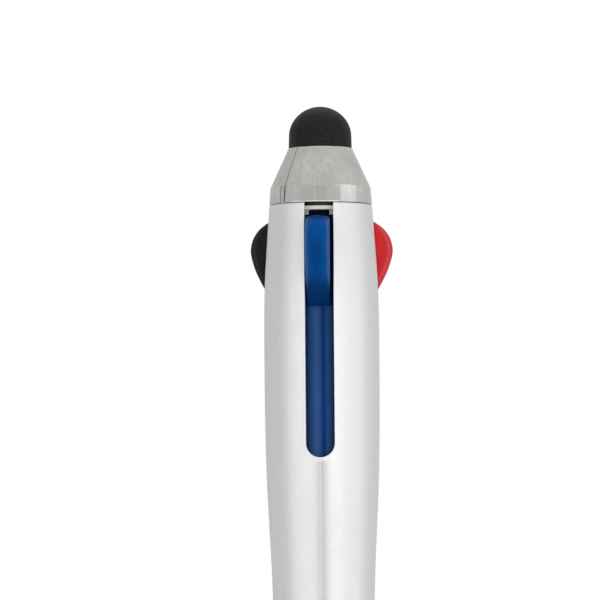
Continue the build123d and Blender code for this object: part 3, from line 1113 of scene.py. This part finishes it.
def bend_refill(piece):
    """Bake a refill piece's placement into its mesh."""
    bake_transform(piece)


def refill_tube(colour):
    """Translucent tube."""
    node, center, foot, top = refill_place("refill_tube", colour)
    rows = 60
    outside = [(1.2, foot + 0.05 + (top - foot - 0.1) * k / rows) for k in range(rows + 1)]
    inside = [(0.8, top - (top - foot) * k / rows) for k in range(rows + 1)]
    outline = [(1.15, foot)] + outside + [(1.15, top)] + inside
    piece = lathe(f"{colour}_refill_tube", outline, center, 48)
    piece.data.materials.append(MATERIALS["tube"])
    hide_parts(node)
    bend_refill(piece)
    return piece


def refill_ink(colour):
    """Ink in the tube, with a hollowed top surface."""
    node, center, foot, top = refill_place("refill_ink", colour)
    rows = 48
    side = [(0.79, foot + (top - foot) * k / rows) for k in range(rows + 1)]
    meniscus = [(0.79 * cos(pi / 2 * k / 5), top - 0.35 * sin(pi / 2 * k / 5)) for k in range(1, 5)]
    piece = lathe(f"{colour}_ink", [(0, foot)] + side + meniscus + [(0, top - 0.35)], center, 32)
    piece.data.materials.append(MATERIALS[f"ink_{colour}"])
    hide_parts(node)
    bend_refill(piece)
    return piece


def refill_tip(colour):
    """Turned brass tip: cone with a rolled lip round the ball, shoulder, body and insert."""
    node, center, foot, top = refill_place("refill_tip", colour)
    body_top = 21.98
    corners = [
        (0.25, foot + 0.2, 0),
        (0.36, foot, 0),
        (0.41, foot + 0.02, 0),
        (0.43, foot + 0.35, 0),
        (0.52, foot + 0.5, 0.03),
        (1.04, foot + 3.20, 0.06),
        (1.04, foot + 3.42, 0.03),
        (1.15, foot + 3.50, 0.03),
        (1.15, body_top, 0.05),
        (0.79, body_top, 0),
        (0.79, top, 0.08),
        (0.25, top, 0),
    ]
    piece = lathe(f"{colour}_brass_tip", rounded(corners, 4), center, 64)
    return hand_over(piece, "brass", f"refill_{colour}", "tip_brass", node)


# ---------------------------------------------------------------- CAD nodes that are shown as they are
def dress(node, material):
    """Give a CAD node its material."""
    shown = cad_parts[node]
    shown.data.materials.clear()
    shown.data.materials.append(material)


# ---------------------------------------------------------------- surroundings
FLOOR_DROP = 4.2


def floor():
    """Wide pale floor just under the reach of a lowered refill."""
    reach = 1.5
    drop = NOSE_OPENING - FLOOR_DROP * MM
    mesh = bpy.data.meshes.new("floor")
    mesh.from_pydata(
        [(-reach, -reach, drop), (reach, -reach, drop), (reach, reach, drop), (-reach, reach, drop)],
        [],
        [(0, 1, 2, 3)],
    )
    plane = bpy.data.objects.new("floor", mesh)
    bpy.context.scene.collection.objects.link(plane)
    mesh.materials.append(floor_paper())


LIT_HEIGHT = 115.0


def softbox(name, azimuths, elevations, radiance, distance=0.6):
    """Area lamp filling a range of directions seen from the pen. Azimuth 0 is the front, + the right."""
    target = Vector(to_world(0, 0, LIT_HEIGHT))
    azimuth, elevation = (radians(sum(pair) / 2) for pair in (azimuths, elevations))
    lamp = bpy.data.lights.new(name, "AREA")
    lamp.shape = "RECTANGLE"
    lamp.size, lamp.size_y = (
        2 * distance * tan(radians(pair[1] - pair[0]) / 2) for pair in (azimuths, elevations)
    )
    lamp.energy = radiance * pi * lamp.size * lamp.size_y
    holder = bpy.data.objects.new(name, lamp)
    toward = Vector((sin(azimuth) * cos(elevation), -cos(azimuth) * cos(elevation), sin(elevation)))
    holder.location = target + toward * distance
    holder.rotation_euler = toward.to_track_quat("Z", "Y").to_euler()
    holder.visible_camera = False
    bpy.context.scene.collection.objects.link(holder)


TENT_LOW = 0.53
TENT_HIGH = 0.60
TENT_MIDDLE = (0.25, 0.40)  # upward share of a direction where low values give way to high ones
TENT_SIDES = (  # sideways from, to, and the extra light there, low and high
    (-0.5, -0.7, 0.06, -0.07),
    (0.1, 0.35, 0.13, 0.05),
)
SEAM_PLANE = (-0.094, 0.905, -0.4135)  # the seams lie in planes square to this, leaning back
SEAMS = (  # distance of the plane, width, and depth of the shade, low and high
    (0.0, 0.036, 1.0, 0.52),
    (0.205, 0.026, 0.85, 0.0),
)


def tent_world():
    """White backdrop for the eye. For the light a grey tent, paler overhead, with two seams on its left."""
    world = bpy.data.worlds.new("tent")
    bpy.context.scene.world = world
    world.use_nodes = True
    tree = world.node_tree
    tree.nodes.clear()
    nodes = Nodes(tree)
    math = nodes.math
    output = nodes.node("ShaderNodeOutputWorld")
    eye = nodes.node("ShaderNodeBackground", Color=(1, 1, 1, 1))
    light = nodes.node("ShaderNodeBackground", Color=(1.0, 0.995, 0.985, 1))
    path = nodes.node("ShaderNodeLightPath")
    mix = nodes.node("ShaderNodeMixShader", Fac=path.outputs["Is Camera Ray"])
    tree.links.new(light.outputs["Background"], mix.inputs[1])
    tree.links.new(eye.outputs["Background"], mix.inputs[2])
    tree.links.new(mix.outputs["Shader"], output.inputs["Surface"])

    def ramp(value, start, end, low, high):
        return nodes.span(value, low, high, start, end, "SMOOTHSTEP")

    coordinates = nodes.node("ShaderNodeTexCoord")
    axes = nodes.node("ShaderNodeSeparateXYZ", Vector=coordinates.outputs["Generated"])
    x, y, z = (axes.outputs[name] for name in "XYZ")
    radiance = ramp(z, 0.15, 0.70, TENT_LOW, TENT_HIGH)
    for start, end, low, high in TENT_SIDES:
        extra = math("MULTIPLY", ramp(x, start, end, 0.0, 1.0), ramp(z, *TENT_MIDDLE, low, high))
        radiance = math("MULTIPLY", radiance, math("ADD", extra, 1.0))
    across = math("MULTIPLY", x, SEAM_PLANE[0])
    across = math("ADD", across, math("MULTIPLY", y, SEAM_PLANE[1]))
    across = math("ADD", across, math("MULTIPLY", z, SEAM_PLANE[2]))
    on_left = ramp(x, -0.6, -0.4, 1.0, 0.0)
    for place, width, low, high in SEAMS:
        away = math("DIVIDE", math("SUBTRACT", across, place), width)
        dip = math("EXPONENT", math("MULTIPLY", math("MULTIPLY", away, away), -1.0))
        dip = math("MULTIPLY", math("MULTIPLY", dip, ramp(z, *TENT_MIDDLE, low, high)), on_left)
        radiance = math("MULTIPLY", radiance, math("SUBTRACT", 1.0, dip))
    tree.links.new(radiance, light.inputs["Strength"])


def studio():
    """Soft lamps: low panels and cards round the front, higher panels over them, and one behind."""
    left_row = (-7.5, 11.5)
    right_row = (-7.5, 9.5)
    card_row = (9.8, 19)
    upper_row = (24, 42)
    softbox("left_panel", (-68, -22), left_row, 0.94)
    softbox("front_panel", (-22, 7), left_row, 1.28)
    softbox("right_panel", (7, 46), right_row, 1.60)
    softbox("far_right_panel", (48, 95), right_row, 0.80)
    softbox("far_right_card", (49, 91), card_row, 0.31)
    softbox("dim_right_card", (92, 118), card_row, 0.08)
    softbox("upper_front_panel", (-20, 20), upper_row, 0.6)
    softbox("upper_right_panel", (35, 75), upper_row, 0.5)
    softbox("overhead_panel", (-20, 20), (66, 110), 1.0)
    softbox("back_panel", (150, 210), (45, 75), 1.0)


FRAME_ACROSS = 67.05  # width of the view at the pen, millimetres
CAMERA_DISTANCE = 800.0
CAMERA_HEIGHT = 69.5
AIM_HEIGHT = 121.3
AIM_SIDE = -2.40
CAMERA_TURN = 2.5  # degrees that the camera stands to the right of the blue slot
CAMERA_ROLL = -0.45


def camera():
    """Long lens, a little below the pen's top and looking slightly up at it."""
    data = bpy.data.cameras.new("camera")
    data.sensor_width = 36.0
    data.lens = data.sensor_width * CAMERA_DISTANCE / FRAME_ACROSS
    data.clip_start = 0.01
    data.clip_end = 20.0
    holder = bpy.data.objects.new("camera", data)
    turn = radians(CAMERA_TURN)
    right = Vector((cos(turn), sin(turn), 0))
    back = Vector((sin(turn), -cos(turn), 0))
    aim = Vector(to_world(0, 0, AIM_HEIGHT)) + right * AIM_SIDE * MM
    place = Vector(to_world(0, 0, CAMERA_HEIGHT)) + right * AIM_SIDE * MM + back * CAMERA_DISTANCE * MM
    look = (aim - place).to_track_quat("-Z", "Y").to_matrix().to_4x4()
    holder.matrix_world = Matrix.Translation(place) @ look @ Matrix.Rotation(radians(CAMERA_ROLL), 4, "Z")
    bpy.context.scene.collection.objects.link(holder)
    bpy.context.scene.camera = holder


# ---------------------------------------------------------------- making
MATERIALS = {
    "silver": silver_lacquer(),
    "chrome": chrome_plate("chrome_plate", (0.715, 0.703, 0.688), (0.90, 0.887, 0.865), 0.85),
    "clean_chrome": chrome_plate("clean_chrome", (0.765, 0.755, 0.74), (0.82, 0.81, 0.79), 0.2),
    "dome": dome_rubber(),
    "grip": grip_rubber(),
    "core": natural_plastic(),
    "blue": gloss_plastic("blue_gloss", (0.001, 0.060, 0.250), (0.002, 0.079, 0.322), 0.02),
    "red": gloss_plastic("red_gloss", (0.60, 0.021, 0.027), (0.69, 0.030, 0.038), 0.03),
    "black": gloss_plastic("black_gloss", (0.010, 0.010, 0.010), (0.018, 0.018, 0.0175), 0.04),
    "wire": wire_steel(),
    "ball": wire_steel("ball_steel"),
    "brass": turned_brass(),
    "tube": clear_tube(),
    "ink_blue": wet_ink("blue_ink", (0.004, 0.012, 0.20), (0.008, 0.03, 0.34)),
    "ink_red": wet_ink("red_ink", (0.35, 0.006, 0.012), (0.52, 0.012, 0.02)),
    "ink_black": wet_ink("black_ink", (0.006, 0.006, 0.008), (0.015, 0.015, 0.018)),
}

camera()
bpy.context.scene.view_settings.view_transform = "Standard"
tent_world()
studio()
floor()

upper_barrel()
lower_barrel()
top_cone()
center_ring()
nose_cone()
stylus_dome()
grip_sleeve()
dress("cap_core", MATERIALS["core"])
dress("spring_seat", MATERIALS["core"])
for colour in SLOT_DIRECTION:
    slider(colour)
    return_spring(colour)
    refill_tube(colour)
    refill_ink(colour)
    refill_tip(colour)
    dress(f"refill_ball_{colour}", MATERIALS["ball"])
